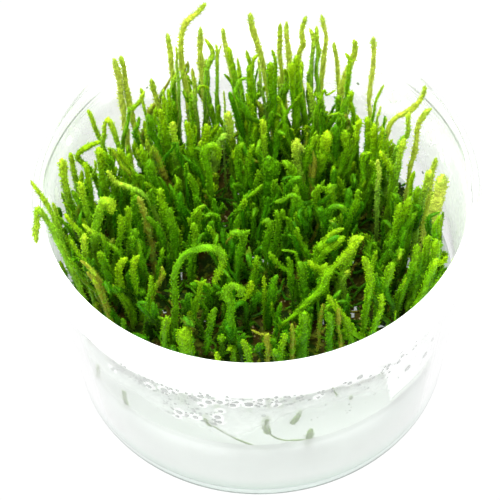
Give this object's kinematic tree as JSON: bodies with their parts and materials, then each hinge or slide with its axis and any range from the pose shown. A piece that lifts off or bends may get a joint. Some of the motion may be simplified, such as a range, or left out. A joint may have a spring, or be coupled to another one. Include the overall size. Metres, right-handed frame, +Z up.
{
  "type": "potted flame moss",
  "caption": "Clear open growing cup with a layer of jelly and a dense upright stand of bright green flame moss on it.",
  "frame": {"origin": "on the surface that the cup stands on, under the middle of the cup", "axes": "+Z up along the cup's axis, +Y towards the back of the cup in the picture, +X to its right"},
  "size_m": [0.1, 0.1, 0.0756],
  "materials": {
    "clear_plastic": "gloss",
    "jelly": "gloss",
    "moss": "satin",
    "moss_shoot": "satin"
  },
  "bodies": {
    "root": {"cup": "clear_plastic", "gel": "jelly", "moss_clump_1": "moss", "moss_clump_2": "moss", "moss_clump_3": "moss", "moss_clump_4": "moss", "moss_clump_5": "moss", "moss_clump_6": "moss", "moss_clump_7": "moss", "moss_clump_8": "moss", "moss_clump_9": "moss", "moss_clump_10": "moss", "moss_clump_11": "moss", "moss_clump_12": "moss", "moss_clump_13": "moss", "moss_clump_14": "moss", "moss_clump_15": "moss", "moss_clump_16": "moss", "moss_clump_17": "moss", "moss_clump_18": "moss", "moss_clump_19": "moss", "moss_clump_20": "moss", "moss_clump_21": "moss", "moss_clump_22": "moss", "moss_clump_23": "moss", "moss_clump_24": "moss", "moss_clump_25": "moss", "shoot_left_overhanging": "moss_shoot", "shoot_left_drooping": "moss_shoot", "shoot_left_slender": "moss_shoot", "shoot_left_stout": "moss_shoot", "shoot_left_inner": "moss_shoot", "shoot_left_hooked": "moss_shoot", "shoot_left_leaning": "moss_shoot", "shoot_back_left_pale": "moss_shoot", "shoot_back_left_green": "moss_shoot", "shoot_back_left_short": "moss_shoot", "shoot_back_straight": "moss_shoot", "shoot_back_bowed": "moss_shoot", "shoot_back_tapering": "moss_shoot", "shoot_back_pale": "moss_shoot", "shoot_back_tall": "moss_shoot", "shoot_back_twin_left": "moss_shoot", "shoot_back_twin_right": "moss_shoot", "shoot_back_kinked": "moss_shoot", "shoot_back_curved": "moss_shoot", "shoot_back_right_short": "moss_shoot", "shoot_back_right_stout": "moss_shoot", "shoot_back_right_pale": "moss_shoot", "shoot_right_branched": "moss_shoot", "shoot_right_slender": "moss_shoot", "shoot_right_pale": "moss_shoot", "shoot_right_leaning": "moss_shoot", "shoot_front_looped": "moss_shoot", "shoot_front_arched": "moss_shoot", "shoot_front_curled": "moss_shoot", "shoot_front_diagonal": "moss_shoot", "shoot_front_leaning": "moss_shoot", "shoot_front_forked": "moss_shoot"}
  },
  "joints": []
}
